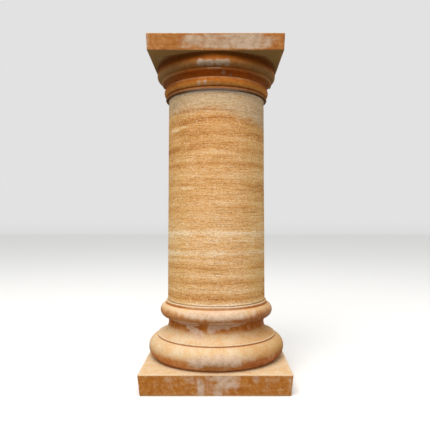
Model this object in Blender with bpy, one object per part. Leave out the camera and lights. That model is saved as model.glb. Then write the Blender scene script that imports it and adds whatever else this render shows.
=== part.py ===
"""A three-piece terracotta pedestal: an Attic base on a square plinth, a plain drum shaft, and a capital
under a square abacus. Each piece is a hollow casting, and the three stand dry on one another.

Metres, +Z up. The origin is on the ground at the centre of the plinth, and the front faces -Y.
"""

import math

import bmesh
import bpy

# Whole pedestal
TOTAL_HEIGHT = 1.000
JOINT_GAP = 0.0003
BORE_RADIUS = 0.123
ARRIS = 0.0025

# Base, from the ground up
PLINTH_FOOT_WIDTH = 0.411
PLINTH_TOP_WIDTH = 0.428
PLINTH_HEIGHT = 0.059
LOWER_TORUS_SEAT_RADIUS = 0.187
LOWER_TORUS_RADIUS = 0.2115
LOWER_TORUS_HEIGHT = 0.067
LIP_GROOVE_RADIUS = 0.182
LIP_RADIUS = 0.185
LIP_HEIGHT = 0.006
SCOTIA_NECK_RADIUS = 0.150
SCOTIA_SWEEP_HEIGHT = 0.034
SCOTIA_RISE_HEIGHT = 0.017
UPPER_TORUS_SEAT_RADIUS = 0.157
UPPER_TORUS_RADIUS = 0.176
UPPER_TORUS_HEIGHT = 0.042
SEAT_RING_RADIUS = 0.1585
SEAT_RING_HEIGHT = 0.009

# Shaft
SHAFT_FOOT_RADIUS = 0.1533
SHAFT_HEAD_RADIUS = 0.1502
SHAFT_ARRIS = 0.0015

# Capital, from its joint up
NECK_RING_RADIUS = 0.159
NECK_RING_HEIGHT = 0.0085
ASTRAGAL_SEAT_RADIUS = 0.152
ASTRAGAL_RADIUS = 0.164
ASTRAGAL_HEIGHT = 0.030
CAVETTO_SPREAD_RADIUS = 0.167
CAVETTO_HEIGHT = 0.0115
FILLET_RADIUS = 0.172
FILLET_HEIGHT = 0.0095
ECHINUS_SEAT_RADIUS = 0.174
ECHINUS_RADIUS = 0.1855
ECHINUS_HEIGHT = 0.0265
RECESS_RADIUS = 0.182
RECESS_HEIGHT = 0.0115
ABACUS_FOOT_WIDTH = 0.382
ABACUS_TOP_WIDTH = 0.387
ABACUS_HEIGHT = 0.0485

# Hollows under the plinth and under the abacus, which open out from the bore
PLINTH_HOLLOW_RADIUS = 0.167
PLINTH_HOLLOW_HEIGHT = 0.085
PLINTH_HOLLOW_SHOULDER = 0.065
ABACUS_HOLLOW_RADIUS = 0.154
ABACUS_HOLLOW_START = 0.050
ABACUS_HOLLOW_SHOULDER = 0.024
ABACUS_THICKNESS = 0.028

# Facets
SIDES = 60
TORUS_STEPS = 7
SMALL_STEPS = 5
SHOULDER_STEPS = 3
SMOOTH_ANGLE = math.radians(32)

BASE_HEIGHT = (
    PLINTH_HEIGHT
    + LOWER_TORUS_HEIGHT
    + LIP_HEIGHT
    + SCOTIA_SWEEP_HEIGHT
    + SCOTIA_RISE_HEIGHT
    + UPPER_TORUS_HEIGHT
    + SEAT_RING_HEIGHT
)
CAPITAL_HEIGHT = (
    NECK_RING_HEIGHT
    + ASTRAGAL_HEIGHT
    + CAVETTO_HEIGHT
    + FILLET_HEIGHT
    + ECHINUS_HEIGHT
    + RECESS_HEIGHT
    + ABACUS_HEIGHT
)
SHAFT_HEIGHT = TOTAL_HEIGHT - BASE_HEIGHT - CAPITAL_HEIGHT - 2 * JOINT_GAP


# Profiles are lists of (radius, height) points that run upwards.


def bulge(start, end, reach_radius, steps):
    """The points after start of a round moulding that swells out to reach_radius between start and end."""
    half_chord = math.hypot(end[0] - start[0], end[1] - start[1]) / 2
    depth = reach_radius - (start[0] + end[0]) / 2
    arc_radius = (half_chord**2 + depth**2) / (2 * depth)
    middle = ((start[0] + end[0]) / 2, (start[1] + end[1]) / 2)
    outward = ((end[1] - start[1]) / (2 * half_chord), (start[0] - end[0]) / (2 * half_chord))
    centre = tuple(m + o * (depth - arc_radius) for m, o in zip(middle, outward))
    first = math.atan2(start[1] - centre[1], start[0] - centre[0])
    last = math.atan2(end[1] - centre[1], end[0] - centre[0])
    angles = (first + (last - first) * step / steps for step in range(1, steps + 1))
    return [(centre[0] + arc_radius * math.cos(a), centre[1] + arc_radius * math.sin(a)) for a in angles]


def hollow_quarter(start, end, steps, level_first):
    """The points after start of a quarter ellipse to end. It leaves start level, or reaches end level."""
    points = []
    for step in range(1, steps + 1):
        turn = math.pi / 2 * step / steps
        late = 1 - math.cos(turn)
        early = math.sin(turn)
        across, up = (early, late) if level_first else (late, early)
        radius = start[0] + (end[0] - start[0]) * across
        height = start[1] + (end[1] - start[1]) * up
        points.append((radius, height))
    return points


def base_profile():
    """The turned mouldings of the base, from inside the plinth to the seat of the shaft."""
    plinth_top = PLINTH_HEIGHT
    lower_torus_top = plinth_top + LOWER_TORUS_HEIGHT
    lip_top = lower_torus_top + LIP_HEIGHT
    scotia_neck = lip_top + SCOTIA_SWEEP_HEIGHT
    scotia_top = scotia_neck + SCOTIA_RISE_HEIGHT
    upper_torus_top = scotia_top + UPPER_TORUS_HEIGHT

    points = [(LOWER_TORUS_SEAT_RADIUS, plinth_top / 2), (LOWER_TORUS_SEAT_RADIUS, plinth_top)]
    points += bulge(points[-1], (LIP_GROOVE_RADIUS, lower_torus_top), LOWER_TORUS_RADIUS, TORUS_STEPS)
    points += [(LIP_RADIUS, lower_torus_top + ARRIS / 2), (LIP_RADIUS, lip_top)]
    upper_torus_foot = (UPPER_TORUS_SEAT_RADIUS, scotia_top)
    upper_torus_head = (UPPER_TORUS_SEAT_RADIUS, upper_torus_top)
    points += hollow_quarter(points[-1], (SCOTIA_NECK_RADIUS, scotia_neck), SMALL_STEPS, level_first=True)
    points += hollow_quarter(points[-1], upper_torus_foot, SMALL_STEPS, level_first=False)
    points += bulge(points[-1], upper_torus_head, UPPER_TORUS_RADIUS, TORUS_STEPS)
    points += [(SEAT_RING_RADIUS, upper_torus_top + ARRIS / 2)]
    points += rounded_head(SEAT_RING_RADIUS, BASE_HEIGHT, SHAFT_ARRIS)
    return points


def capital_profile():
    """The turned mouldings of the capital, from its joint to inside the abacus."""
    neck_ring_top = NECK_RING_HEIGHT
    astragal_top = neck_ring_top + ASTRAGAL_HEIGHT
    cavetto_top = astragal_top + CAVETTO_HEIGHT
    fillet_top = cavetto_top + FILLET_HEIGHT
    echinus_top = fillet_top + ECHINUS_HEIGHT
    recess_top = echinus_top + RECESS_HEIGHT

    points = rounded_foot(NECK_RING_RADIUS, SHAFT_ARRIS)
    points += [(NECK_RING_RADIUS, neck_ring_top - ARRIS / 2), (ASTRAGAL_SEAT_RADIUS, neck_ring_top)]
    points += bulge(points[-1], (ASTRAGAL_SEAT_RADIUS, astragal_top), ASTRAGAL_RADIUS, TORUS_STEPS)
    cavetto_head = (CAVETTO_SPREAD_RADIUS, cavetto_top)
    points += hollow_quarter(points[-1], cavetto_head, SMALL_STEPS, level_first=False)
    points += [(FILLET_RADIUS, cavetto_top + ARRIS / 2), (FILLET_RADIUS, fillet_top - ARRIS / 2)]
    points += [(ECHINUS_SEAT_RADIUS - ARRIS, fillet_top)]
    points += bulge(points[-1], (RECESS_RADIUS, echinus_top), ECHINUS_RADIUS, TORUS_STEPS)
    points += [(RECESS_RADIUS, recess_top + ABACUS_HEIGHT / 2)]
    return points


def rounded_foot(radius, arris):
    """The lower arris of a drum, rounded from the underside to the side."""
    ease = arris * (1 - math.sqrt(0.5))
    return [(radius - arris, 0.0), (radius - ease, ease), (radius, arris)]


def rounded_head(radius, height, arris):
    """The upper arris of a drum, from the side to the top."""
    return [(r, height - z) for r, z in reversed(rounded_foot(radius, arris))]


def turned_solid(name, profile):
    """A closed solid of revolution about Z, with a flat disc at each end of the profile."""
    shape = bmesh.new()
    rings = []
    for radius, height in profile:
        ring = []
        for side in range(SIDES):
            angle = 2 * math.pi * side / SIDES
            ring.append(shape.verts.new((radius * math.cos(angle), radius * math.sin(angle), height)))
        rings.append(ring)
    for lower, upper in zip(rings, rings[1:]):
        for side in range(SIDES):
            following = (side + 1) % SIDES
            shape.faces.new((lower[side], lower[following], upper[following], upper[side]))
    shape.faces.new(list(reversed(rings[0])))
    shape.faces.new(rings[-1])
    return new_object(name, shape)


def square_slab(name, foot_width, top_width, bottom, top):
    """A square slab whose sides lean, with every arris rounded."""
    shape = bmesh.new()
    corners = ((-0.5, -0.5), (0.5, -0.5), (0.5, 0.5), (-0.5, 0.5))
    foot = [shape.verts.new((x * foot_width, y * foot_width, bottom)) for x, y in corners]
    head = [shape.verts.new((x * top_width, y * top_width, top)) for x, y in corners]
    shape.faces.new(list(reversed(foot)))
    shape.faces.new(head)
    for side in range(4):
        following = (side + 1) % 4
        shape.faces.new((foot[side], foot[following], head[following], head[side]))
    bmesh.ops.bevel(shape, geom=shape.edges[:], offset=ARRIS, segments=2, profile=0.5, affect="EDGES")
    return new_object(name, shape)


def new_object(name, shape):
    """Turns a bmesh into an object of the scene."""
    mesh = bpy.data.meshes.new(name)
    shape.to_mesh(mesh)
    shape.free()
    piece = bpy.data.objects.new(name, mesh)
    bpy.context.scene.collection.objects.link(piece)
    return piece


def combine(piece, helper, operation):
    """Joins the helper to the piece, or cuts it away, with an exact Boolean."""
    helper.hide_render = True
    helper.display_type = "WIRE"
    step = piece.modifiers.new(helper.name, "BOOLEAN")
    step.operation = operation
    step.solver = "EXACT"
    step.object = helper


def settle(piece):
    """Fixes the modifiers into the mesh, removes their helpers, and keeps only real arrises sharp."""
    helpers = [step.object for step in piece.modifiers]
    graph = bpy.context.evaluated_depsgraph_get()
    solid = bpy.data.meshes.new_from_object(piece.evaluated_get(graph))
    piece.modifiers.clear()
    piece.data = solid
    for helper in helpers:
        bpy.data.objects.remove(helper)
    solid.shade_smooth()
    solid.set_sharp_from_angle(angle=SMOOTH_ANGLE)


def terracotta(name, colour, roughness):
    """A matt fired-clay material. The colour is linear RGB."""
    material = bpy.data.materials.new(name)
    material.use_nodes = True
    shader = material.node_tree.nodes["Principled BSDF"]
    shader.inputs["Base Color"].default_value = (*colour, 1.0)
    shader.inputs["Roughness"].default_value = roughness
    shader.inputs["Metallic"].default_value = 0.0
    return material


def make_base():
    """The plinth and its mouldings, cast as one and open underneath and at the seat."""
    base = square_slab("base", PLINTH_FOOT_WIDTH, PLINTH_TOP_WIDTH, 0.0, PLINTH_HEIGHT)
    combine(base, turned_solid("base_mouldings", base_profile()), "UNION")
    hollow = [(PLINTH_HOLLOW_RADIUS, -PLINTH_HEIGHT), (PLINTH_HOLLOW_RADIUS, PLINTH_HOLLOW_HEIGHT)]
    shoulder = (BORE_RADIUS, PLINTH_HOLLOW_HEIGHT + PLINTH_HOLLOW_SHOULDER)
    hollow += hollow_quarter(hollow[-1], shoulder, SHOULDER_STEPS, level_first=False)
    hollow += [(BORE_RADIUS, BASE_HEIGHT + SEAT_RING_HEIGHT)]
    combine(base, turned_solid("base_hollow", hollow), "DIFFERENCE")
    settle(base)
    base.data.materials.append(terracotta("terracotta_base", (0.60, 0.33, 0.15), 0.90))
    return base


def make_shaft():
    """The drum, open from end to end."""
    profile = rounded_foot(SHAFT_FOOT_RADIUS, SHAFT_ARRIS)
    profile += rounded_head(SHAFT_HEAD_RADIUS, SHAFT_HEIGHT, SHAFT_ARRIS)
    shaft = turned_solid("shaft", profile)
    bore = [(BORE_RADIUS, -BORE_RADIUS), (BORE_RADIUS, SHAFT_HEIGHT + BORE_RADIUS)]
    combine(shaft, turned_solid("shaft_bore", bore), "DIFFERENCE")
    settle(shaft)
    shaft.location.z = BASE_HEIGHT + JOINT_GAP
    shaft.data.materials.append(terracotta("terracotta_shaft", (0.58, 0.32, 0.14), 0.88))
    return shaft


def make_capital():
    """The mouldings and the abacus, cast as one: open underneath, with a closed top."""
    recess_top = CAPITAL_HEIGHT - ABACUS_HEIGHT
    capital = square_slab("capital", ABACUS_FOOT_WIDTH, ABACUS_TOP_WIDTH, recess_top, CAPITAL_HEIGHT)
    combine(capital, turned_solid("capital_mouldings", capital_profile()), "UNION")
    hollow = [(BORE_RADIUS, -NECK_RING_HEIGHT), (BORE_RADIUS, ABACUS_HOLLOW_START)]
    shoulder = (ABACUS_HOLLOW_RADIUS, ABACUS_HOLLOW_START + ABACUS_HOLLOW_SHOULDER)
    hollow += hollow_quarter(hollow[-1], shoulder, SHOULDER_STEPS, level_first=True)
    hollow += [(ABACUS_HOLLOW_RADIUS, CAPITAL_HEIGHT - ABACUS_THICKNESS)]
    combine(capital, turned_solid("capital_hollow", hollow), "DIFFERENCE")
    settle(capital)
    capital.location.z = TOTAL_HEIGHT - CAPITAL_HEIGHT
    capital.data.materials.append(terracotta("terracotta_capital", (0.50, 0.27, 0.12), 0.90))
    return capital


def main():
    for leftover in list(bpy.data.objects):
        bpy.data.objects.remove(leftover)
    pedestal = bpy.data.objects.new("pedestal", None)
    bpy.context.scene.collection.objects.link(pedestal)
    for piece in (make_base(), make_shaft(), make_capital()):
        piece.parent = pedestal


main()
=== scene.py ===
"""Looks of the terracotta pedestal: three finely turned, weathered castings in fired clay with salt bloom,
on a pale floor in soft light. Metres, +Z up, the front towards -Y."""

import math

import bpy
import numpy as np
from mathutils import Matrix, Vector, noise


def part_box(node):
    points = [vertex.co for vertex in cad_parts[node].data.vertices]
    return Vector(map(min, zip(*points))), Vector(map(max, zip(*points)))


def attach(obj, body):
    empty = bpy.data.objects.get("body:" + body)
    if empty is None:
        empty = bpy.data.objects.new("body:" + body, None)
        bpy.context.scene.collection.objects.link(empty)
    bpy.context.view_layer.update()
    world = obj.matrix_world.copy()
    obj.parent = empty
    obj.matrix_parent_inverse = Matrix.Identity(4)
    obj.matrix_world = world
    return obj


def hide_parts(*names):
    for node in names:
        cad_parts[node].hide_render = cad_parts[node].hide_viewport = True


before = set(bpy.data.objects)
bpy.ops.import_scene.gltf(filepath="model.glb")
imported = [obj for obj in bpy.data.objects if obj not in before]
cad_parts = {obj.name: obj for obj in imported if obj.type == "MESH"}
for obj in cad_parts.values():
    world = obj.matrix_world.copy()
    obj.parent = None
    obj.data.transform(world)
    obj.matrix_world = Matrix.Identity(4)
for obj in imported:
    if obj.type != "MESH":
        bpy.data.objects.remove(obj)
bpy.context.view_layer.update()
BODY = "root"

# Heights taken from the solids
BASE_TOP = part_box("base")[1][2]
SHAFT_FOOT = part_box("shaft")[0][2]
SHAFT_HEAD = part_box("shaft")[1][2]
CAPITAL_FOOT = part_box("capital")[0][2]
PEDESTAL_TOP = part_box("capital")[1][2]

# Base mouldings, from the ground up
PLINTH_FOOT_WIDTH = 0.416
PLINTH_TOP_WIDTH = 0.4275
PLINTH_HEIGHT = 0.0602
LOWER_TORUS_SEAT_RADIUS = 0.187
LOWER_TORUS_RADIUS = 0.2112
LOWER_TORUS_HEIGHT = 0.0658
LIP_GROOVE_RADIUS = 0.1815
LIP_RADIUS = 0.185
LIP_HEIGHT = 0.006
SCOTIA_NECK_RADIUS = 0.150
SCOTIA_SWEEP_HEIGHT = 0.034
SCOTIA_RISE_HEIGHT = 0.017
UPPER_TORUS_SEAT_RADIUS = 0.1565
UPPER_TORUS_RADIUS = 0.176
UPPER_TORUS_HEIGHT = 0.042
SEAT_RING_RADIUS = 0.1585

# Shaft
SHAFT_FOOT_RADIUS = 0.1532
SHAFT_HEAD_RADIUS = 0.1501

# Capital mouldings, from its joint up
NECK_RING_RADIUS = 0.159
NECK_RING_HEIGHT = 0.0085
ASTRAGAL_SEAT_RADIUS = 0.152
ASTRAGAL_RADIUS = 0.164
ASTRAGAL_HEIGHT = 0.030
CAVETTO_SPREAD_RADIUS = 0.167
CAVETTO_HEIGHT = 0.0115
FILLET_RADIUS = 0.172
FILLET_HEIGHT = 0.0095
ECHINUS_SEAT_RADIUS = 0.172
ECHINUS_RADIUS = 0.1853
ECHINUS_HEIGHT = 0.0265
RECESS_RADIUS = 0.182
ABACUS_FOOT_WIDTH = 0.382
ABACUS_TOP_WIDTH = 0.3868
ABACUS_HEIGHT = 0.0485

# Small slopes beside the rings and fillets: their height, and how far the fillet's top is undercut
EDGE_SLOPE = 0.0012
FILLET_UNDERCUT = 0.001

# Hollows inside the castings
BORE_RADIUS = 0.123
PLINTH_HOLLOW_RADIUS = 0.167
PLINTH_HOLLOW_HEIGHT = 0.085
PLINTH_HOLLOW_SHOULDER = 0.065
ABACUS_HOLLOW_RADIUS = 0.154
ABACUS_HOLLOW_START = 0.050
ABACUS_HOLLOW_SHOULDER = 0.024
ABACUS_THICKNESS = 0.028

# Mesh: spacing of its rows, the number of columns in each quarter and where they lie, as shares of a side
FINE = 0.0018
SHAFT_ROW = 0.00115
PLAIN = 0.004
COARSE = 0.010
SQUARE_COLUMNS = 90
SHAFT_COLUMNS = 36
EVEN_COLUMNS_TO = 0.965
CORNER_COLUMNS = [0.978, 0.988, 0.996]

# Radius of the row that a fan of triangles closes on the axis
FAN_RADIUS = 0.004

# Rounding of the square corners, and passes that soften an arris
CORNER_RADIUS = 0.003
CRISP_PASSES = 1
SOFT_PASSES = 2
WORN_PASSES = 9

# Curvature: in 1/m for a full arris or crease and for an arris that chips, and its shortest span in metres
SHARP_CURVE = 250
CHIPPED_CURVE = 300
SHORTEST_SPAN = 0.0005

# Relief: its depths, how far each surface is set in, where noise chips an arris, and margins that stay true
WAVE_DEPTH = 0.00035
DIMPLE_DEPTH = 0.00016
CHIP_DEPTH = 0.0016
CHIP_FROM = 0.38
CHIP_SPREAD = 0.3
MOULDED_SKIN = 0.0005
SHAFT_WAVE_DEPTH = 0.00030
RING_DEPTH = 0.00022
SCRATCH_DEPTH = 0.00016
TURNED_SKIN = 0.0007
SEAT_MARGIN = 0.003
BORE_MARGIN = 0.02

# Camera, measured from the pedestal's axis and the floor
CAMERA_DISTANCE = 1.478
CAMERA_ASIDE = 0.0180
CAMERA_HEIGHT = 0.479
FOCAL_PIXELS = 465
FRAME_PIXELS = 430
SENSOR_MM = 36
OPTICAL_CENTRE_X = 222
OPTICAL_CENTRE_Y = 221

# Studio
FLOOR_WIDTH = 30.0
SKY_LOW = 0.22
SKY_HIGH = 0.76
KEY_POWER = 185.0
KEY_WIDTH = 3.2
KEY_PLACE = (-0.55, -2.1, 3.9)
KEY_AIM = (0.0, 0.0, 0.5)
KEY_COLOUR = (1.0, 0.98, 0.95)
HORIZON_FADE = 0.30
FLOOR_COLOUR = (0.86, 0.86, 0.85, 1.0)
FLOOR_ROUGHNESS = 0.9

# Every patch fades out at this many of its half sizes, with a ragged edge, and towards the sides
PATCH_END = 1.6
PATCH_RAGGEDNESS = 0.40
FRONT_FADE = 0.04

# Salt bloom on the front, with painted highlights on two rings: aside, height, half width, half height and
# strength of each patch
PLINTH_BLOOM = [
    (-0.041, 0.024, 0.011, 0.030, 0.78),
    (0.010, 0.049, 0.044, 0.010, 0.78),
    (0.036, 0.032, 0.026, 0.013, 0.88),
    (0.006, 0.018, 0.016, 0.022, 0.66),
    (-0.005, 0.030, 0.062, 0.030, 0.40),
    (-0.062, 0.044, 0.018, 0.010, 0.50),
    (0.150, 0.028, 0.045, 0.022, 0.20),
    (0.111, 0.047, 0.010, 0.013, 0.50),
    (0.206, 0.035, 0.006, 0.017, 0.60),
]
BASE_MOULDING_BLOOM_AND_HIGHLIGHT = [
    (0.011, 0.096, 0.078, 0.015, 0.85),
    (-0.046, 0.084, 0.014, 0.012, 1.0),
    (0.055, 0.087, 0.020, 0.010, 1.0),
    (-0.088, 0.186, 0.034, 0.0032, 1.5),
    (-0.078, 0.179, 0.030, 0.0028, 1.4),
    (-0.074, 0.171, 0.013, 0.008, 1.3),
    (-0.063, 0.162, 0.013, 0.008, 1.3),
    (-0.053, 0.154, 0.012, 0.010, 1.6),
    (0.012, 0.178, 0.030, 0.010, 1.4),
    (-0.012, 0.170, 0.012, 0.012, 1.2),
    (0.048, 0.182, 0.032, 0.007, 1.3),
    (0.002, 0.212, 0.088, 0.014, 0.9),
    # Painted highlight on the seat ring, mixed with salt bloom
    (0.000, 0.2325, 0.110, 0.0030, 0.8),
]
ABACUS_BLOOM = [
    (0.078, 0.976, 0.064, 0.034, 0.90),
    (-0.005, 0.970, 0.056, 0.030, 0.66),
    (-0.062, 0.981, 0.034, 0.014, 0.75),
    (-0.085, 0.964, 0.024, 0.008, 0.45),
    (0.032, 0.968, 0.030, 0.022, 0.70),
    (-0.190, 0.980, 0.004, 0.020, 0.45),
]
CAPITAL_MOULDING_BLOOM_AND_HIGHLIGHT = [
    (-0.042, 0.923, 0.0110, 0.0075, 1.1),
    (-0.017, 0.922, 0.0105, 0.0070, 1.1),
    (0.009, 0.923, 0.0110, 0.0075, 1.1),
    (0.030, 0.923, 0.0100, 0.0075, 1.0),
    # Painted highlight on the capital's fillet, mixed with salt bloom
    (-0.003, 0.910, 0.024, 0.0018, 0.6),
    (-0.048, 0.873, 0.006, 0.006, 0.60),
    (-0.030, 0.873, 0.006, 0.006, 0.65),
    (-0.012, 0.872, 0.006, 0.005, 0.50),
    (0.004, 0.870, 0.008, 0.004, 0.55),
    (0.022, 0.901, 0.006, 0.005, 0.55),
    (0.042, 0.897, 0.005, 0.006, 0.55),
]

# How far the bands of the shaft wander up and down, and how uneven their strength is
BAND_DRIFT = 0.004
BAND_UNEVENNESS = 0.7

# Bands of tone round the shaft: height, half height and tone, pale above 0 and dark below
SHAFT_BANDS = [
    (0.800, 0.006, -0.70),
    (0.773, 0.009, -0.65),
    (0.753, 0.007, -0.25),
    (0.733, 0.010, -0.25),
    (0.688, 0.008, -0.60),
    (0.673, 0.006, 0.10),
    (0.661, 0.008, 0.25),
    (0.642, 0.006, -0.35),
    (0.612, 0.018, 0.35),
    (0.584, 0.004, -0.35),
    (0.528, 0.006, 0.20),
    (0.515, 0.007, -0.25),
    (0.470, 0.040, 0.25),
    (0.442, 0.010, 0.55),
    (0.419, 0.014, 0.50),
    (0.385, 0.010, 0.95),
    (0.364, 0.007, 0.60),
    (0.342, 0.004, -0.60),
    (0.320, 0.009, 0.38),
    (0.299, 0.006, -0.50),
    (0.276, 0.007, 0.45),
    (0.254, 0.004, -0.50),
    (0.240, 0.005, 0.55),
]
SHAFT_STREAKS = [
    (-0.124, 0.750, 0.016, 0.005, 1.1),
    (-0.100, 0.7535, 0.012, 0.003, 0.9),
    (0.000, 0.674, 0.040, 0.003, 0.3),
    (-0.088, 0.575, 0.026, 0.004, 0.6),
    (0.072, 0.581, 0.022, 0.003, 0.5),
    (0.055, 0.444, 0.034, 0.004, 0.55),
    (-0.100, 0.445, 0.024, 0.004, 0.55),
    (0.000, 0.2375, 0.080, 0.0030, 0.80),
]

# The sandy head of the shaft, and how much lower it comes on the right
SAND_FROM = 0.775
SAND_FADE = 0.050
SAND_DROP = 0.04

# Scratches in the flat faces: the size of their curves and their lean
SCRATCHES = [(0.055, 0.9), (0.040, -0.6)]

# Heights of the mouldings with painted shade, and the reach of the dark line at the shaft's foot
SCOTIA_NECK_LEVEL = 0.172
CAVETTO_LEVEL = 0.893
FILLET_LEVEL = 0.910
FOOT_LINE = 0.0038

# Keeps the marks of one moulding off the next
LEVEL_MARGIN = 0.0005

# Dry clay hardly shines. A Mix node has its colours on these sockets, which share their names with others
DRY_SPECULAR = 0.10
MIX_FIRST = 6
MIX_SECOND = 7
MIX_RESULT = 2

# Tints that multiply another colour: a painted shade, a painted warmer light on the shaft's sides, and
# mottling
SHADE_BROWN = (0.70, 0.50, 0.22)
SIDE_LIGHT_YELLOW = (0.95, 0.96, 0.84)
DARK_MOTTLE = (0.78, 0.70, 0.62)
LIGHT_MOTTLE = (1.22, 1.24, 1.20)

# Colours and strengths that the clay of each casting is mixed from
BASE_PALETTE = {
    "fired": [(0.15, (0.33, 0.086, 0.009)), (0.50, (0.48, 0.167, 0.023)), (0.85, (0.61, 0.300, 0.100))],
    "bleached": (0.665, 0.515, 0.335),
    "bleached_warm": (0.64, 0.41, 0.20),
    "bleach_from": 0.12,
    "bleach_to": 0.85,
    "underside": (0.38, 0.15, 0.04),
    "scratches": 0.32,
    "runs": 0.75,
    "bloom_and_highlight": (0.58, 0.39, 0.26),
    "bloom_light": (0.70, 0.50, 0.36),
    "crease_shade": (0.42, 0.13, 0.022),
    "arris": 0.65,
    "joint": (0.24, 0.18, 0.15),
    "speck": (0.30, 0.10, 0.022),
}
CAPITAL_PALETTE = {
    "fired": [(0.20, (0.26, 0.072, 0.010)), (0.50, (0.39, 0.148, 0.036)), (0.80, (0.50, 0.255, 0.100))],
    # Colour by height on the capital's turned mouldings: the clay's tone with painted light and shade, dark
    # in the grooves, the cavetto and under the abacus, paler where they face the light
    "tone_and_shade_zones": [
        (0.8545, (0.20, 0.085, 0.024)),
        (0.8575, (0.24, 0.092, 0.022)),
        (0.8600, (0.20, 0.046, 0.005)),
        (0.8640, (0.33, 0.090, 0.012)),
        (0.8680, (0.64, 0.280, 0.060)),
        (0.8740, (0.54, 0.190, 0.026)),
        (0.8800, (0.42, 0.125, 0.013)),
        (0.8880, (0.36, 0.090, 0.008)),
        (0.8930, (0.44, 0.102, 0.006)),
        (0.9030, (0.45, 0.105, 0.006)),
        (0.9085, (0.33, 0.078, 0.006)),
        (0.9125, (0.25, 0.090, 0.016)),
        (0.9165, (0.345, 0.150, 0.040)),
        (0.9250, (0.335, 0.140, 0.038)),
        (0.9310, (0.32, 0.098, 0.012)),
        (0.9370, (0.26, 0.064, 0.004)),
        (0.9440, (0.16, 0.046, 0.003)),
    ],
    "bleached": (0.56, 0.375, 0.200),
    "bleached_warm": (0.50, 0.275, 0.105),
    "bleach_from": 0.35,
    "bleach_to": 1.10,
    "underside": (0.45, 0.275, 0.088),
    "shade": (0.40, 0.245, 0.085),
    "scratches": 0.10,
    "runs": 0.15,
    "bloom_and_highlight": (0.43, 0.30, 0.195),
    "bloom_light": (0.52, 0.39, 0.280),
    "crease_shade": (0.22, 0.055, 0.006),
    "arris": 0.12,
    "joint": (0.60, 0.52, 0.54),
    "speck": (0.20, 0.070, 0.012),
}
SHAFT_PALETTE = {
    "strokes": [
        (0.10, (0.36, 0.125, 0.022)),
        (0.34, (0.60, 0.278, 0.078)),
        (0.52, (0.72, 0.393, 0.145)),
        (0.70, (0.82, 0.510, 0.238)),
        (0.95, (0.90, 0.680, 0.430)),
    ],
    "pale": (0.92, 0.74, 0.52),
    "line": (0.50, 0.200, 0.050),
    "sand": (0.57, 0.42, 0.250),
    "joint": (0.24, 0.19, 0.17),
    "speck": (0.40, 0.17, 0.05),
}


# Profiles: lists of (radius, height) points


def bulge(start, end, reach_radius, steps=24):
    """A round moulding that swells out to reach_radius between start and end, without its start point."""
    half_chord = math.hypot(end[0] - start[0], end[1] - start[1]) / 2
    depth = reach_radius - (start[0] + end[0]) / 2
    arc_radius = (half_chord**2 + depth**2) / (2 * depth)
    middle = ((start[0] + end[0]) / 2, (start[1] + end[1]) / 2)
    outward = ((end[1] - start[1]) / (2 * half_chord), (start[0] - end[0]) / (2 * half_chord))
    centre = tuple(m + o * (depth - arc_radius) for m, o in zip(middle, outward))
    first = math.atan2(start[1] - centre[1], start[0] - centre[0])
    last = math.atan2(end[1] - centre[1], end[0] - centre[0])
    angles = (first + (last - first) * step / steps for step in range(1, steps + 1))
    return [(centre[0] + arc_radius * math.cos(a), centre[1] + arc_radius * math.sin(a)) for a in angles]


def hollow_quarter(start, end, level_first, steps=20):
    """A quarter ellipse from start to end, without its start point. It leaves its start level where
    level_first is true, and otherwise reaches its end level."""
    points = []
    for step in range(1, steps + 1):
        turn = math.pi / 2 * step / steps
        late = 1 - math.cos(turn)
        early = math.sin(turn)
        across, up = (early, late) if level_first else (late, early)
        points.append((start[0] + (end[0] - start[0]) * across, start[1] + (end[1] - start[1]) * up))
    return points


def run(points, spacing, squareness=(0.0, 0.0)):
    """Evenly spaced (radius, height, squareness) stations along points, without the last point."""
    points = np.array(points)
    lengths = np.concatenate([[0.0], np.cumsum(np.hypot(*np.diff(points, axis=0).T))])
    count = max(2, round(lengths[-1] / spacing))
    at = np.linspace(0.0, lengths[-1], count, endpoint=False)
    share = at / lengths[-1]
    square = squareness[0] + (squareness[1] - squareness[0]) * share
    radius = np.interp(at, lengths, points[:, 0])
    height = np.interp(at, lengths, points[:, 1])
    return np.column_stack([radius, height, square])


def soften(stations, closed, passes):
    """Rounds the arrises of a profile by averaging each station with its neighbours."""
    soft = stations.copy()
    for _ in range(passes):
        mean = (np.roll(soft, 1, axis=0) + 2 * soft + np.roll(soft, -1, axis=0)) / 4
        if not closed:
            mean[0], mean[-1] = soft[0], soft[-1]
        soft = mean
    return soft


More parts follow.
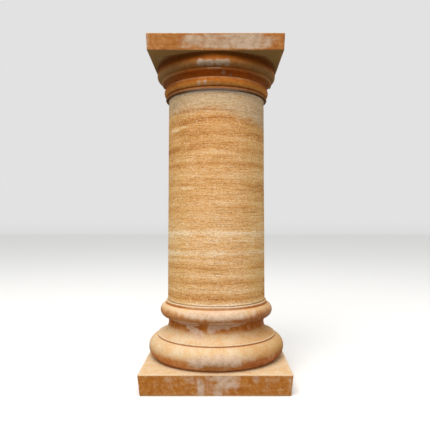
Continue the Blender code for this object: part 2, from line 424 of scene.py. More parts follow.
def base_stations():
    """Once round the wall of the base: underside, plinth, mouldings, seat of the shaft, and the hollow."""
    foot, head = PLINTH_FOOT_WIDTH / 2, PLINTH_TOP_WIDTH / 2
    lower_torus_top = PLINTH_HEIGHT + LOWER_TORUS_HEIGHT
    lip_top = lower_torus_top + LIP_HEIGHT
    neck = lip_top + SCOTIA_SWEEP_HEIGHT
    scotia_top = neck + SCOTIA_RISE_HEIGHT
    upper_torus_top = scotia_top + UPPER_TORUS_HEIGHT

    outer = [(LOWER_TORUS_SEAT_RADIUS, PLINTH_HEIGHT)]
    outer += bulge(outer[-1], (LIP_GROOVE_RADIUS, lower_torus_top), LOWER_TORUS_RADIUS)
    outer += [(LIP_RADIUS, lower_torus_top + EDGE_SLOPE), (LIP_RADIUS, lip_top)]
    outer += hollow_quarter(outer[-1], (SCOTIA_NECK_RADIUS, neck), level_first=True)
    outer += hollow_quarter(outer[-1], (UPPER_TORUS_SEAT_RADIUS, scotia_top), level_first=False)
    outer += bulge(outer[-1], (UPPER_TORUS_SEAT_RADIUS, upper_torus_top), UPPER_TORUS_RADIUS)
    outer += [(SEAT_RING_RADIUS, upper_torus_top + EDGE_SLOPE), (SEAT_RING_RADIUS, BASE_TOP)]

    shoulder = PLINTH_HOLLOW_HEIGHT + PLINTH_HOLLOW_SHOULDER
    inner = [(BORE_RADIUS, BASE_TOP), (BORE_RADIUS, shoulder)]
    curve = hollow_quarter((PLINTH_HOLLOW_RADIUS, PLINTH_HOLLOW_HEIGHT), inner[-1], level_first=False)
    inner += list(reversed(curve[:-1]))
    inner += [(PLINTH_HOLLOW_RADIUS, PLINTH_HOLLOW_HEIGHT), (PLINTH_HOLLOW_RADIUS, 0.0)]

    return np.concatenate(
        [
            run([(PLINTH_HOLLOW_RADIUS, 0.0), (foot, 0.0)], FINE, (0.0, 1.0)),
            run([(foot, 0.0), (head, PLINTH_HEIGHT)], FINE, (1.0, 1.0)),
            run([(head, PLINTH_HEIGHT), (LOWER_TORUS_SEAT_RADIUS, PLINTH_HEIGHT)], FINE, (1.0, 0.0)),
            soften(run(outer, FINE), False, SOFT_PASSES),
            run([(SEAT_RING_RADIUS, BASE_TOP), (BORE_RADIUS, BASE_TOP)], PLAIN),
            run(inner, COARSE),
        ]
    )


def shaft_stations():
    """Once round the wall of the shaft: foot, outside, head and bore."""
    stations = np.concatenate(
        [
            run([(BORE_RADIUS, SHAFT_FOOT), (SHAFT_FOOT_RADIUS, SHAFT_FOOT)], FINE),
            run([(SHAFT_FOOT_RADIUS, SHAFT_FOOT), (SHAFT_HEAD_RADIUS, SHAFT_HEAD)], SHAFT_ROW),
            run([(SHAFT_HEAD_RADIUS, SHAFT_HEAD), (BORE_RADIUS, SHAFT_HEAD)], FINE),
            run([(BORE_RADIUS, SHAFT_HEAD), (BORE_RADIUS, SHAFT_FOOT)], COARSE),
        ]
    )
    return soften(stations, True, SOFT_PASSES)


def capital_stations():
    """From the middle of the hollow's ceiling, round the wall of the capital, to the middle of its top."""
    neck_ring_top = CAPITAL_FOOT + NECK_RING_HEIGHT
    astragal_top = neck_ring_top + ASTRAGAL_HEIGHT
    cavetto_top = astragal_top + CAVETTO_HEIGHT
    fillet_top = cavetto_top + FILLET_HEIGHT
    echinus_top = fillet_top + ECHINUS_HEIGHT
    abacus_foot = PEDESTAL_TOP - ABACUS_HEIGHT
    ceiling = PEDESTAL_TOP - ABACUS_THICKNESS

    hollow = [(BORE_RADIUS, CAPITAL_FOOT), (BORE_RADIUS, CAPITAL_FOOT + ABACUS_HOLLOW_START)]
    shoulder = CAPITAL_FOOT + ABACUS_HOLLOW_START + ABACUS_HOLLOW_SHOULDER
    hollow += hollow_quarter(hollow[-1], (ABACUS_HOLLOW_RADIUS, shoulder), level_first=True)
    hollow += [(ABACUS_HOLLOW_RADIUS, ceiling)]

    outer = [(NECK_RING_RADIUS, CAPITAL_FOOT), (NECK_RING_RADIUS, neck_ring_top - EDGE_SLOPE)]
    outer += [(ASTRAGAL_SEAT_RADIUS, neck_ring_top)]
    outer += bulge(outer[-1], (ASTRAGAL_SEAT_RADIUS, astragal_top), ASTRAGAL_RADIUS)
    outer += hollow_quarter(outer[-1], (CAVETTO_SPREAD_RADIUS, cavetto_top), level_first=False)
    outer += [(FILLET_RADIUS, cavetto_top + EDGE_SLOPE), (FILLET_RADIUS, fillet_top - EDGE_SLOPE)]
    outer += [(ECHINUS_SEAT_RADIUS - FILLET_UNDERCUT, fillet_top)]
    outer += bulge(outer[-1], (RECESS_RADIUS, echinus_top), ECHINUS_RADIUS)
    outer += [(RECESS_RADIUS, abacus_foot)]

    foot, head = ABACUS_FOOT_WIDTH / 2, ABACUS_TOP_WIDTH / 2
    return np.concatenate(
        [
            run([(FAN_RADIUS, ceiling), (ABACUS_HOLLOW_RADIUS, ceiling)], COARSE),
            run(list(reversed(hollow)), COARSE),
            run([(BORE_RADIUS, CAPITAL_FOOT), (NECK_RING_RADIUS, CAPITAL_FOOT)], PLAIN),
            soften(run(outer, FINE), False, WORN_PASSES),
            run([(RECESS_RADIUS, abacus_foot), (foot, abacus_foot)], FINE / 2, (0.0, 1.0)),
            run([(foot, abacus_foot), (head, PEDESTAL_TOP)], FINE, (1.0, 1.0)),
            run([(head, PEDESTAL_TOP), (FAN_RADIUS, PEDESTAL_TOP)], COARSE / 2, (1.0, 1.0)),
        ]
    )


# Meshes lofted through the stations


def column_angles(columns):
    """Angles of the mesh columns: even along the sides of a square, and closer at its corners."""
    even = np.linspace(-EVEN_COLUMNS_TO, EVEN_COLUMNS_TO, columns - 2 * len(CORNER_COLUMNS))
    corner = np.array(CORNER_COLUMNS)
    side = np.concatenate([-corner[::-1], even, corner])
    quarter = np.arctan(side)
    return np.concatenate([quarter + turn * math.pi / 2 for turn in range(4)])


def square_reach(angles, half_width):
    """How much further than half_width a rounded square reaches at each angle."""
    long_side = np.maximum(abs(np.cos(angles)), abs(np.sin(angles)))
    short_side = np.minimum(abs(np.cos(angles)), abs(np.sin(angles)))
    corner = half_width - CORNER_RADIUS
    straight = half_width / long_side
    spread = corner * (long_side + short_side)
    under_root = np.maximum(spread**2 - 2 * corner**2 + CORNER_RADIUS**2, 0.0)
    rounded = spread + np.sqrt(under_root)
    on_corner = straight * short_side > corner
    return np.where(on_corner, rounded, straight) / half_width


def directions(stations, closed):
    """Unit steps along the profile at each station, from the one before it to the one after."""
    ahead, behind = np.roll(stations, -1, axis=0), np.roll(stations, 1, axis=0)
    if not closed:
        ahead[-1], behind[0] = stations[-1], stations[0]
    step = (ahead - behind)[:, :2]
    return step / np.maximum(np.hypot(step[:, 0], step[:, 1]), 1e-9)[:, None]


def turning(stations, closed):
    """Curvature of the profile in 1/m: above 0 on an arris, below 0 in a crease."""
    along = directions(stations, closed)
    before, after = np.roll(along, 1, axis=0), np.roll(along, -1, axis=0)
    bend = before[:, 0] * after[:, 1] - before[:, 1] * after[:, 0]
    spacing = np.hypot(*(np.roll(stations, -1, axis=0) - stations)[:, :2].T)
    curve = bend / np.maximum(2 * spacing, SHORTEST_SPAN)
    if not closed:
        curve[:2], curve[-2:] = 0.0, 0.0
    return curve


def loft(name, stations, angles, closed, relief, marks):
    """A closed mesh through the softened stations, raised along its normals by relief. The marks are
    stored with its vertices."""
    stations = soften(stations, closed, CRISP_PASSES)
    along = directions(stations, closed)
    normal = np.column_stack([along[:, 1], -along[:, 0]])
    radius, height, square = (column[:, None] for column in stations.T)
    reach = square_reach(angles, PLINTH_TOP_WIDTH / 2)[None, :]

    def place(raised):
        spread = (radius + raised * normal[:, :1]) * (1 - square + square * reach)
        level = height + raised * normal[:, 1:]
        return np.stack([spread * np.cos(angles), spread * np.sin(angles), level], axis=-1)

    flat = place(np.zeros((len(stations), len(angles))))
    curve = turning(stations, closed)
    raised = relief(flat, {"radius": stations[:, 0], "curve": curve})
    points = place(raised)

    rows, columns = raised.shape
    verts = points.reshape(-1, 3)
    index = np.arange(rows * columns).reshape(rows, columns)
    following = np.roll(index, -1, axis=1)
    last = rows if closed else rows - 1
    above = np.roll(index, -1, axis=0)[:last]
    above_following = np.roll(following, -1, axis=0)[:last]
    quads = np.stack([index[:last], following[:last], above_following, above], axis=-1).reshape(-1, 4)
    faces = quads.tolist()
    if not closed:
        centres = [[0.0, 0.0, points[0, :, 2].mean()], [0.0, 0.0, points[-1, :, 2].mean()]]
        verts = np.concatenate([verts, centres])
        low, high = rows * columns, rows * columns + 1
        faces += [[low, following[0, c], index[0, c]] for c in range(columns)]
        faces += [[high, index[-1, c], following[-1, c]] for c in range(columns)]

    mesh = bpy.data.meshes.new(name)
    mesh.from_pydata(verts.tolist(), [], faces)
    mesh.shade_smooth()
    piece = bpy.data.objects.new(name, mesh)
    bpy.context.scene.collection.objects.link(piece)
    stored = {label: mark(flat).ravel() for label, mark in marks.items()}
    # Pale arrises are rubbed wear with a painted highlight
    stored["arris"] = np.repeat(np.clip(curve / SHARP_CURVE, 0, 1), columns)
    # Creases take painted shade
    stored["crease_shade"] = np.repeat(np.clip(-curve / SHARP_CURVE, 0, 1), columns)
    for label, values in stored.items():
        store(mesh, label, np.concatenate([values, np.zeros(len(verts) - rows * columns)]))
    return piece


def store(mesh, label, values):
    """Keeps one number per vertex under a name that the material reads."""
    mesh.attributes.new(label, "FLOAT", "POINT").data.foreach_set("value", values.astype(np.float32))


# Relief and weathering, point by point


def noise_at(points, scale, stretch=(1.0, 1.0, 1.0), offset=0.0):
    """Smooth noise from -1 to 1 at each point. scale is the size of its forms in metres."""
    seeds = points.reshape(-1, 3) * (np.array(stretch) / scale) + offset
    values = [noise.noise(Vector(seed)) for seed in seeds]
    return np.array(values).reshape(points.shape[:-1])


def moulded_relief(points, profile):
    """Hand-pressed clay, all inwards: slow waves, a faint dimpling, and small chips along the arrises."""
    waves = WAVE_DEPTH * noise_at(points, scale=0.11, offset=3.1)
    dimples = DIMPLE_DEPTH * noise_at(points, scale=0.016, offset=7.7)
    chipped = np.clip(noise_at(points, scale=0.014, offset=12.9) - CHIP_FROM, 0, CHIP_SPREAD) / CHIP_SPREAD
    edge = np.clip(profile["curve"] / CHIPPED_CURVE, 0, 1)[:, None]
    settled = np.clip(points[..., 2] / SEAT_MARGIN, 0, 1)
    return (waves + dimples - MOULDED_SKIN - CHIP_DEPTH * chipped * edge) * settled


def turned_relief(points, profile):
    """Fine rings left by turning on the outside, over a slow unevenness."""
    waves = SHAFT_WAVE_DEPTH * noise_at(points, scale=0.14, offset=5.3)
    rings = RING_DEPTH * noise_at(points, scale=0.030, stretch=(1, 1, 9), offset=1.7)
    scratches = SCRATCH_DEPTH * noise_at(points, scale=0.012, stretch=(1, 1, 5), offset=9.2)
    outside = np.clip((profile["radius"] - BORE_RADIUS) / BORE_MARGIN, 0, 1)[:, None]
    return (waves + (rings + scratches) * outside - TURNED_SKIN) * inside_joints(points)


def inside_joints(points):
    """0 at the two ends of the shaft, where it is seated, rising to 1 just inside them."""
    from_foot = (points[..., 2] - SHAFT_FOOT) / SEAT_MARGIN
    from_head = (SHAFT_HEAD - points[..., 2]) / SEAT_MARGIN
    return np.clip(np.minimum(from_foot, from_head), 0, 1)


def patches(points, spots):
    """Strength at each point of the patches, ragged at the edge, which lie on the front half only."""
    total = np.zeros(points.shape[:-1])
    ragged = noise_at(points, scale=0.020, offset=21.0) + 0.6 * noise_at(points, scale=0.008, offset=15.0)
    for aside, height, half_width, half_height, strength in spots:
        away = np.hypot((points[..., 0] - aside) / half_width, (points[..., 2] - height) / half_height)
        total = np.maximum(total, strength * np.clip(PATCH_END - away + PATCH_RAGGEDNESS * ragged, 0, 1))
    return total * np.clip(-points[..., 1] / FRONT_FADE, 0, 1)


def bands(points, levels):
    """Sum of soft bands of tone round the shaft, each stronger in some places than in others."""
    total = np.zeros(points.shape[:-1])
    drift = BAND_DRIFT * noise_at(points, scale=0.12, stretch=(1, 1, 0.3), offset=4.4)
    for height, half_height, tone in levels:
        away = (points[..., 2] + drift - height) / half_height
        total += tone * np.exp(-(away**2))
    return total * (1.0 + BAND_UNEVENNESS * noise_at(points, scale=0.09, stretch=(1, 1, 0.5), offset=8.8))


# Fired-clay materials


class Clay:
    """A node material whose patterns lie in the pedestal's own space, in metres."""

    def __init__(self, name):
        self.material = bpy.data.materials.new(name)
        self.material.use_nodes = True
        self.tree = self.material.node_tree
        self.shader = self.tree.nodes["Principled BSDF"]
        self.place = self.node("ShaderNodeTexCoord").outputs["Object"]
        self.shader.inputs["Specular IOR Level"].default_value = DRY_SPECULAR

    def node(self, kind, inputs=(), **settings):
        """A new node with these settings. Each input takes a value, or a link from a socket."""
        made = self.tree.nodes.new(kind)
        for key, value in settings.items():
            setattr(made, key, value)
        for key, value in dict(inputs).items():
            self.feed(made.inputs[key], value)
        return made

    def feed(self, socket, value):
        if isinstance(value, bpy.types.NodeSocket):
            self.tree.links.new(value, socket)
        else:
            socket.default_value = value

    def noise(self, size, detail=2.0, stretch=(1.0, 1.0, 1.0), offset=0.0, roughness=0.5, lean=0.0):
        """Noise from 0 to 1. size is that of its largest forms, stretch packs them closer along an axis,
        and lean tilts them by that many radians."""
        place = self.place
        if lean:
            inputs = {"Vector": place, "Rotation": (0.0, lean, lean)}
            place = self.node("ShaderNodeMapping", inputs).outputs[0]
        scale = [axis / size for axis in stretch]
        mapping = self.node("ShaderNodeMapping", {"Vector": place, "Scale": scale, "Location": [offset] * 3})
        inputs = {"Vector": mapping.outputs[0], "Scale": 1.0, "Detail": detail, "Roughness": roughness}
        return self.node("ShaderNodeTexNoise", inputs).outputs["Fac"]

    def pits(self, spacing, size, share):
        """Small round pits, in a share of the cells of a grid that is spacing wide."""
        inputs = {"Vector": self.place, "Scale": 1 / spacing}
        cells = self.node("ShaderNodeTexVoronoi", inputs)
        chosen = self.step(cells.outputs["Color"], 1 - share, 1 - share + 0.02)
        return self.times(chosen, self.step(cells.outputs["Distance"], size / spacing, 0.4 * size / spacing))

    def threads(self, pattern, width):
        """Thin lines that wander where a noise pattern crosses its middle value."""
        away = self.node("ShaderNodeMath", {0: pattern, 1: -0.5}, operation="ADD").outputs[0]
        size = self.node("ShaderNodeMath", {0: away}, operation="ABSOLUTE").outputs[0]
        return self.step(size, width, 0.0)

    def attribute(self, label):
        return self.node("ShaderNodeAttribute", attribute_name=label).outputs["Fac"]

    def level(self):
        """How far the surface faces up, from -1 to 1."""
        normal = self.node("ShaderNodeNewGeometry").outputs["Normal"]
        return self.node("ShaderNodeSeparateXYZ", {"Vector": normal}).outputs["Z"]

    def sum(self, *terms):
        """Adds (value, weight) pairs."""
        total = 0.0
        for value, weight in terms:
            inputs = {0: value, 1: weight, 2: total}
            total = self.node("ShaderNodeMath", inputs, operation="MULTIPLY_ADD").outputs[0]
        return total

    def times(self, first, second):
        """The product of two values, kept between 0 and 1."""
        inputs = {0: first, 1: second}
        return self.node("ShaderNodeMath", inputs, operation="MULTIPLY", use_clamp=True).outputs[0]

    def step(self, value, low, high):
        """Rises smoothly from 0 to 1 as value goes from low to high."""
        inputs = {"Value": value, "From Min": low, "From Max": high}
        return self.node("ShaderNodeMapRange", inputs, interpolation_type="SMOOTHSTEP").outputs["Result"]

    def blend(self, factor, first, second, blend_type="MIX"):
        """Goes from the first colour to the second, or to their blend, as factor rises from 0 to 1."""
        mix = self.node("ShaderNodeMix", data_type="RGBA", blend_type=blend_type)
        self.feed(mix.inputs["Factor"], factor)
        self.feed(mix.inputs[MIX_FIRST], self.colour(first))
        self.feed(mix.inputs[MIX_SECOND], self.colour(second))
        return mix.outputs[MIX_RESULT]

    def colour(self, value):
        """What a colour socket takes: a link as it is, or a colour made opaque."""
        return value if isinstance(value, bpy.types.NodeSocket) else (*value, 1.0)

    def height_ramp(self, tone_and_shade_zones):
        """Colour by height through (height, colour) zones."""
        low, high = tone_and_shade_zones[0][0], tone_and_shade_zones[-1][0]
        height = self.node("ShaderNodeSeparateXYZ", {"Vector": self.place}).outputs["Z"]
        share = self.node("ShaderNodeMapRange", {"Value": height, "From Min": low, "From Max": high})
        stops = [((level - low) / (high - low), colour) for level, colour in tone_and_shade_zones]
        return self.ramp(share.outputs["Result"], stops)

    def ramp(self, factor, stops):
        """Colour by factor through (position, colour) stops."""
        made = self.node("ShaderNodeValToRGB", {"Fac": factor})
        elements = made.color_ramp.elements
        while len(elements) < len(stops):
            elements.new(0.5)
        for element, (position, colour) in zip(elements, stops):
            element.position = position
            element.color = (*colour, 1.0)
        return made.outputs["Color"]

    def finish(self, colour, roughness, height, depth):
        """Feeds the shader. height is a pattern from 0 to 1, and depth is its real depth in metres."""
        self.feed(self.shader.inputs["Base Color"], colour)
        self.feed(self.shader.inputs["Roughness"], roughness)
        bump = self.node("ShaderNodeBump", {"Height": height, "Distance": depth, "Strength": 1.0})
        self.feed(self.shader.inputs["Normal"], bump.outputs["Normal"])
        return self.material


def moulded_clay(name, palette):
    """Clay pressed in a mould: orange below and pale above, weathered bleaching with painted light from
    above, with salt bloom, painted shade in the creases and on darker sides, and pale arrises that are
    rubbed wear with a painted highlight."""
    clay = Clay(name)
    broad = clay.noise(size=0.10, detail=3, offset=2.0)
    cloud = clay.noise(size=0.030, detail=5, offset=5.0, roughness=0.65)
    blots = clay.noise(size=0.013, detail=4, offset=17.0, roughness=0.6)
    grain = clay.noise(size=0.0065, detail=4, offset=1.0, roughness=0.75)
    runs = clay.noise(size=0.016, detail=4, stretch=(1, 1, 0.25), offset=9.0, roughness=0.6)
    strokes = clay.noise(size=0.060, detail=4, stretch=(1, 1, 12), offset=6.0, roughness=0.6)
    wiped = clay.noise(size=0.050, detail=4, stretch=(6, 6, 1), offset=13.0, roughness=0.6, lean=0.6)

    mottle = clay.sum(
        (broad, 0.35),
        (cloud, 0.50),
        (blots, 0.60),
        (strokes, 0.40),
        (wiped, 0.55),
        (grain, 0.70),
        (1.0, -1.05),
    )
    colour = clay.ramp(mottle, palette["fired"])
    flat = clay.step(clay.attribute("turned"), 1.0, 0.0)
    # The turned mouldings take painted light and shade by height, over the clay's tone
    if "tone_and_shade_zones" in palette:
        zoned_tone_and_shade = clay.height_ramp(palette["tone_and_shade_zones"])
        tint = clay.blend(clay.step(mottle, 0.25, 0.80), DARK_MOTTLE, LIGHT_MOTTLE)
        zoned_tone_and_shade = clay.blend(1.0, zoned_tone_and_shade, tint, blend_type="MULTIPLY")
        # Painted shade at both ends of the fillet
        zoned_tone_and_shade = clay.blend(clay.attribute("aside"), zoned_tone_and_shade, palette["shade"])
        colour = clay.blend(clay.attribute("turned"), colour, zoned_tone_and_shade)
    # Surfaces that face up turn pale: weathered bleaching, with painted light from above
    bleached = clay.blend(clay.step(cloud, 0.35, 0.65), palette["bleached"], palette["bleached_warm"])
    up = clay.sum(
        (clay.level(), 1.0), (clay.attribute("bleach_and_light"), 0.45), (cloud, 0.8), (blots, 0.35), (1.0, -0.575)
    )
    colour = clay.blend(clay.step(up, palette["bleach_from"], palette["bleach_to"]), colour, bleached)
    # Painted shade, browner, on the right of the base's round mouldings, in the scotia's neck and at the
    # ends of the cavetto, most where they face down
    painted_shade = clay.times(clay.attribute("painted_shade"), clay.sum((clay.level(), -0.45), (1.0, 1.1)))
    colour = clay.blend(painted_shade, colour, SHADE_BROWN, blend_type="MULTIPLY")

    # Surfaces that face down take the underside colour
    facing_down = clay.step(clay.sum((clay.level(), -1.0), (cloud, 0.25)), 0.8, 1.1)
    colour = clay.blend(clay.times(facing_down, flat), colour, palette["underside"])

    # Salt bloom, and painted highlights where its patches sit on two rings
    bloom_and_highlight_colour = clay.blend(clay.step(blots, 0.35, 0.65), palette["bloom_and_highlight"], palette["bloom_light"])
    bloom_and_highlight_mask = clay.sum(
        (clay.attribute("bloom_and_highlight"), 1.0),
        (cloud, 0.45),
        (runs, palette["runs"]),
        (blots, 0.35),
        (strokes, 1.0 - palette["runs"]),
        (grain, 0.5),
        (1.0, -1.15),
    )
    colour = clay.blend(clay.times(clay.step(bloom_and_highlight_mask, 0.15, 0.85), 0.90), colour, bloom_and_highlight_colour)
    stray = clay.sum((broad, 1.0), (runs, 0.5), (cloud, 0.4), (blots, 0.3), (grain, 0.3))
    stray = clay.times(clay.step(stray, 1.30, 1.60), 0.35)
    colour = clay.blend(clay.times(stray, flat), colour, bloom_and_highlight_colour)

    for size, lean in SCRATCHES:
        curves = clay.noise(size=size, detail=1, stretch=(2.5, 2.5, 1), offset=30.0, lean=lean)
        scratched = clay.times(clay.threads(curves, 0.012), clay.step(blots, 0.40, 0.55))
        scratched = clay.times(clay.times(scratched, flat), palette["scratches"])
        colour = clay.blend(scratched, colour, palette["bleached"])
    # Painted shade in the creases
    colour = clay.blend(clay.times(clay.attribute("crease_shade"), 0.75), colour, palette["crease_shade"])
    # Pale arrises: rubbed wear with a painted highlight
    colour = clay.blend(clay.times(clay.attribute("arris"), palette["arris"]), colour, palette["bleached"])
    colour = clay.blend(clay.times(clay.attribute("joint"), 0.8), colour, palette["joint"])
    colour = clay.blend(clay.times(clay.step(grain, 0.53, 0.70), 0.45), colour, palette["speck"])
    colour = clay.blend(clay.times(clay.step(grain, 0.46, 0.30), 0.25), colour, palette["bleached_warm"])
    pits = clay.pits(0.020, 0.0020, 0.10)
    colour = clay.blend(clay.times(pits, 0.75), colour, palette["speck"])

    roughness = clay.sum((cloud, 0.12), (0.82, 1.0))
    height = clay.sum((grain, 0.5), (blots, 0.2), (cloud, 0.1), (wiped, 0.1), (strokes, 0.1), (pits, -0.6))
    return clay.finish(colour, roughness, height, 0.0020)


def turned_clay(name, palette):
    """Clay turned on a wheel: fine broken horizontal strokes in bands of tone, sandy at its head, with
    painted light at the very head and a painted warmer light on its sides.
    """
    clay = Clay(name)
    broad = clay.noise(size=0.22, detail=2, stretch=(1, 1, 3), offset=3.0)
    layers = clay.noise(size=0.26, detail=3, stretch=(1, 1, 14), offset=14.0, roughness=0.65)
    long_strokes = clay.noise(size=0.070, detail=4, stretch=(1, 1, 22), offset=7.0, roughness=0.65)
    short_strokes = clay.noise(size=0.028, detail=4, stretch=(1, 1, 9), offset=2.0, roughness=0.7)
    grain = clay.noise(size=0.0048, detail=3, stretch=(1, 1, 1.3), offset=4.0, roughness=0.7)
    dashes = clay.noise(size=0.026, detail=4, stretch=(1, 1, 7), offset=11.0, roughness=0.7)
    lines = clay.threads(clay.noise(size=0.16, detail=2, stretch=(1, 1, 16), offset=19.0), 0.010)

    tone = clay.sum(
        (clay.attribute("tone"), 0.34),
        (broad, 0.30),
        (layers, 0.70),
        (long_strokes, 0.60),
        (short_strokes, 0.60),
        (grain, 0.95),
        (1.0, -1.06),
    )
    colour = clay.ramp(tone, palette["strokes"])
    # Painted warmer light on the shaft's sides
    colour = clay.blend(clay.attribute("side"), colour, SIDE_LIGHT_YELLOW, blend_type="MULTIPLY")
    colour = clay.blend(clay.times(lines, 0.35), colour, palette["line"])
    streaky = clay.sum((dashes, 1.0), (clay.attribute("tone"), 0.22), (grain, 0.80))
    colour = clay.blend(clay.times(clay.step(streaky, 1.02, 1.25), 0.70), colour, palette["pale"])
    sandy = clay.sum((clay.attribute("sand"), 0.8), (short_strokes, 1.6), (long_strokes, 0.8), (grain, 0.8))
    colour = clay.blend(clay.times(clay.step(sandy, 1.75, 2.35), 0.80), colour, palette["sand"])
    pinkish = clay.times(clay.times(clay.step(dashes, 0.54, 0.66), clay.attribute("sand")), 0.6)
    colour = clay.blend(pinkish, colour, palette["pale"])
    # Painted light at the head of the shaft, where the neck ring's shadow falls
    colour = clay.blend(clay.times(clay.attribute("head"), 0.9), colour, palette["pale"])
    colour = clay.blend(clay.times(clay.attribute("joint"), 0.85), colour, palette["joint"])
    fine = clay.noise(size=0.0068, detail=3, stretch=(1, 1, 3.2), offset=24.0, roughness=0.75)
    colour = clay.blend(clay.times(clay.step(fine, 0.54, 0.65), 0.75), colour, palette["speck"])
    colour = clay.blend(clay.times(clay.step(fine, 0.45, 0.35), 0.50), colour, palette["pale"])
    pits = clay.pits(0.016, 0.0018, 0.20)
    colour = clay.blend(clay.times(pits, 0.70), colour, palette["speck"])

    roughness = clay.sum((short_strokes, 0.14), (0.80, 1.0))
    height = clay.sum(
        (short_strokes, 0.35),
        (long_strokes, 0.25),
        (grain, 0.25),
        (fine, -0.20),
        (lines, -0.15),
        (pits, -0.4),
    )
    return clay.finish(colour, roughness, height, 0.0030)


# The three castings


def split_level(points, level, below, above):
    """One pattern below a height and another above it."""
    return np.where(points[..., 2] < level, below, above)


def near_level(points, level, reach):
    """1 at a height, falling to 0 at reach above or below it."""
    return np.clip(1 - abs(points[..., 2] - level) / reach, 0, 1)


def rise(value, start, fade):
    """0 up to start, rising to 1 over fade."""
    return np.clip((value - start) / fade, 0, 1)


def beyond(points, start, fade):
    """Rises from 0 to 1 over fade, from start outwards to both sides of the middle."""
    return rise(abs(points[..., 0]), start, fade)


def above_plinth(points):
    """True on the round mouldings of the base."""
    return points[..., 2] > PLINTH_HEIGHT + LEVEL_MARGIN


def bleach_and_light_share(points):
    """Share of the pale top, weathered bleaching with painted light: 1 on the base's round mouldings, less
    at the upper torus's ends and in the scotia, and 0 on the plinth."""
    ends = beyond(points, start=0.080, fade=0.038)
    upper = rise(points[..., 2], start=BASE_TOP - UPPER_TORUS_HEIGHT - 0.015, fade=0.010)
    neck = near_level(points, SCOTIA_NECK_LEVEL, reach=0.030)
    return above_plinth(points) * (1 - 0.95 * ends * upper) * (1 - neck)


def sideways(points):
    """Low at the middle of the front and 1 at its two sides, where the shaft stands open from its seat."""
    middle = 0.25
    return middle + (1 - middle) * beyond(points, start=0.040, fade=0.080)


def sandiness(points):
    """Rises to 1 at the head of the shaft, and comes lower down on its right."""
    lower = SAND_DROP * rise(points[..., 0], start=0.0, fade=SHAFT_HEAD_RADIUS)
    return rise(points[..., 2] + lower, SAND_FROM, SAND_FADE)


def painted_side_shade(points):
    """Painted shade, strong at both ends of the capital's fillet, and most on the left."""
    side = 0.72 - 0.13 * np.sign(points[..., 0])
    return side * near_level(points, FILLET_LEVEL, reach=0.022) * beyond(points, start=0.085, fade=0.075)


def cavetto_painted_shade(points):
    """Painted shade, some way up at both ends of the cavetto."""
    return 0.35 * near_level(points, CAVETTO_LEVEL, reach=0.014) * beyond(points, start=0.085, fade=0.060)


def capital_joint(points):
    """1 on the capital's foot at the middle of the front."""
    return near_level(points, CAPITAL_FOOT, reach=0.0010) * (1 - beyond(points, start=0.05, fade=0.05))


def inside_face(points):
    """0 on the two arrises of the abacus, rising to 1 between them."""
    from_foot = rise(points[..., 2], start=PEDESTAL_TOP - ABACUS_HEIGHT + 0.002, fade=0.005)
    from_top = rise(PEDESTAL_TOP - points[..., 2], start=0.001, fade=0.002)
    return np.minimum(from_foot, from_top)


def base_painted_shade(points):
    """Painted shade: rises to 1 on the right of the base's round mouldings, and less on the left and in
    its neck."""
    right = rise(points[..., 0], start=0.035, fade=0.110)
    left = 0.1 * rise(-points[..., 0], start=0.080, fade=0.060)
    neck = 0.4 * near_level(points, SCOTIA_NECK_LEVEL, reach=0.030)
    return np.maximum(np.maximum(right, left), neck) * above_plinth(points)


def build_base():
    marks = {
        "bloom_and_highlight": lambda points: split_level(
            points,
            PLINTH_HEIGHT - 2 * LEVEL_MARGIN,
            patches(points, PLINTH_BLOOM),
            patches(points, BASE_MOULDING_BLOOM_AND_HIGHLIGHT),
        ),
        "bleach_and_light": bleach_and_light_share,
        "painted_shade": base_painted_shade,
    }
    columns = column_angles(SQUARE_COLUMNS)
    piece = loft("base_casting", base_stations(), columns, True, moulded_relief, marks)
    dress(piece, "base", moulded_clay("weathered_base_clay", BASE_PALETTE))


def build_shaft():
    marks = {
        "tone": lambda points: bands(points, SHAFT_BANDS) + patches(points, SHAFT_STREAKS),
        "sand": sandiness,
        # Painted warmer light on the sides
        "side": lambda points: beyond(points, start=0.070, fade=0.030),
        # Painted light at the head, against the neck ring's shadow
        "head": lambda points: near_level(points, SHAFT_HEAD, reach=0.009),
        "joint": lambda points: near_level(points, SHAFT_FOOT, FOOT_LINE * sideways(points)),
    }
    columns = column_angles(SHAFT_COLUMNS)
    piece = loft("shaft_drum", shaft_stations(), columns, True, turned_relief, marks)
    dress(piece, "shaft", turned_clay("turned_shaft_clay", SHAFT_PALETTE))


def build_capital():
    marks = {
        "bloom_and_highlight": lambda points: split_level(
            points,
            PEDESTAL_TOP - ABACUS_HEIGHT,
            patches(points, CAPITAL_MOULDING_BLOOM_AND_HIGHLIGHT),
            patches(points, ABACUS_BLOOM) * inside_face(points),
        ),
        "turned": lambda points: (points[..., 2] < PEDESTAL_TOP - ABACUS_HEIGHT).astype(float),
        "aside": painted_side_shade,
        "painted_shade": cavetto_painted_shade,
        "joint": capital_joint,
    }
    columns = column_angles(SQUARE_COLUMNS)
    piece = loft("capital_casting", capital_stations(), columns, False, moulded_relief, marks)
    dress(piece, "capital", moulded_clay("weathered_capital_clay", CAPITAL_PALETTE))


def dress(piece, node, material):
    """Gives a piece its material and puts it in the place of its solid."""
    piece.data.materials.append(material)
    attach(piece, BODY)
    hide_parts(node)


# The studio


def build_floor():
    """A wide pale floor that throws no light back up."""
    half = FLOOR_WIDTH / 2
    corners = [(-half, -half, 0.0), (half, -half, 0.0), (half, half, 0.0), (-half, half, 0.0)]
    mesh = bpy.data.meshes.new("floor")
    mesh.from_pydata(corners, [], [(0, 1, 2, 3)])
    floor = bpy.data.objects.new("floor", mesh)
    bpy.context.scene.collection.objects.link(floor)
    material = bpy.data.materials.new("pale_floor")
    material.use_nodes = True
    shader = material.node_tree.nodes["Principled BSDF"]
    shader.inputs["Base Color"].default_value = FLOOR_COLOUR
    shader.inputs["Roughness"].default_value = FLOOR_ROUGHNESS
    mesh.materials.append(material)
    floor.visible_diffuse = False


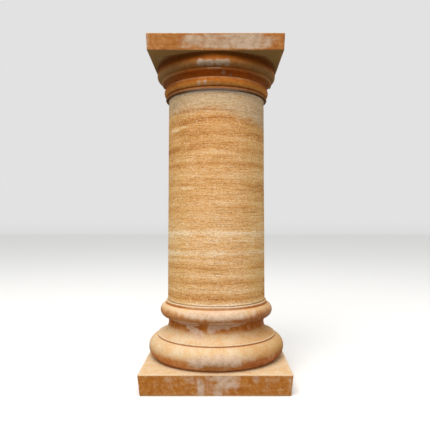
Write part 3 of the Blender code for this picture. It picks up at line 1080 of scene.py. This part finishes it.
def build_sky():
    """Soft white light from all round, dimmer from below the horizon."""
    world = bpy.data.worlds.new("studio")
    bpy.context.scene.world = world
    world.use_nodes = True
    tree = world.node_tree
    background = tree.nodes["Background"]
    background.inputs["Color"].default_value = (1.0, 1.0, 1.0, 1.0)
    direction = tree.nodes.new("ShaderNodeTexCoord")
    split = tree.nodes.new("ShaderNodeSeparateXYZ")
    ramp = tree.nodes.new("ShaderNodeMapRange")
    ramp.inputs["From Min"].default_value = -HORIZON_FADE
    ramp.inputs["From Max"].default_value = 0.0
    ramp.inputs["To Min"].default_value = SKY_LOW
    ramp.inputs["To Max"].default_value = SKY_HIGH
    tree.links.new(direction.outputs["Generated"], split.inputs[0])
    tree.links.new(split.outputs["Z"], ramp.inputs["Value"])
    tree.links.new(ramp.outputs["Result"], background.inputs["Strength"])


def build_lamp(name, place, aim, width, power, colour):
    """A soft square lamp that faces a point."""
    lamp_data = bpy.data.lights.new(name, "AREA")
    lamp_data.size = width
    lamp_data.energy = power
    lamp_data.color = colour
    lamp = bpy.data.objects.new(name, lamp_data)
    lamp.location = place
    lamp.rotation_euler = (Vector(aim) - Vector(place)).to_track_quat("-Z", "Y").to_euler()
    bpy.context.scene.collection.objects.link(lamp)


def build_camera():
    """A level camera whose shift puts the horizon and the vanishing point where the photograph has them."""
    camera_data = bpy.data.cameras.new("camera")
    camera_data.sensor_width = SENSOR_MM
    camera_data.lens = SENSOR_MM * FOCAL_PIXELS / FRAME_PIXELS
    camera_data.shift_x = (FRAME_PIXELS / 2 - OPTICAL_CENTRE_X) / FRAME_PIXELS
    camera_data.shift_y = (OPTICAL_CENTRE_Y - FRAME_PIXELS / 2) / FRAME_PIXELS
    camera = bpy.data.objects.new("camera", camera_data)
    camera.location = (CAMERA_ASIDE, -CAMERA_DISTANCE, CAMERA_HEIGHT)
    camera.rotation_euler = (math.pi / 2, 0.0, 0.0)
    bpy.context.scene.collection.objects.link(camera)
    bpy.context.scene.camera = camera


def main():
    build_base()
    build_shaft()
    build_capital()
    build_floor()
    build_sky()
    build_lamp("key", KEY_PLACE, KEY_AIM, KEY_WIDTH, KEY_POWER, KEY_COLOUR)
    build_camera()
    bpy.context.scene.view_settings.view_transform = "Standard"


main()
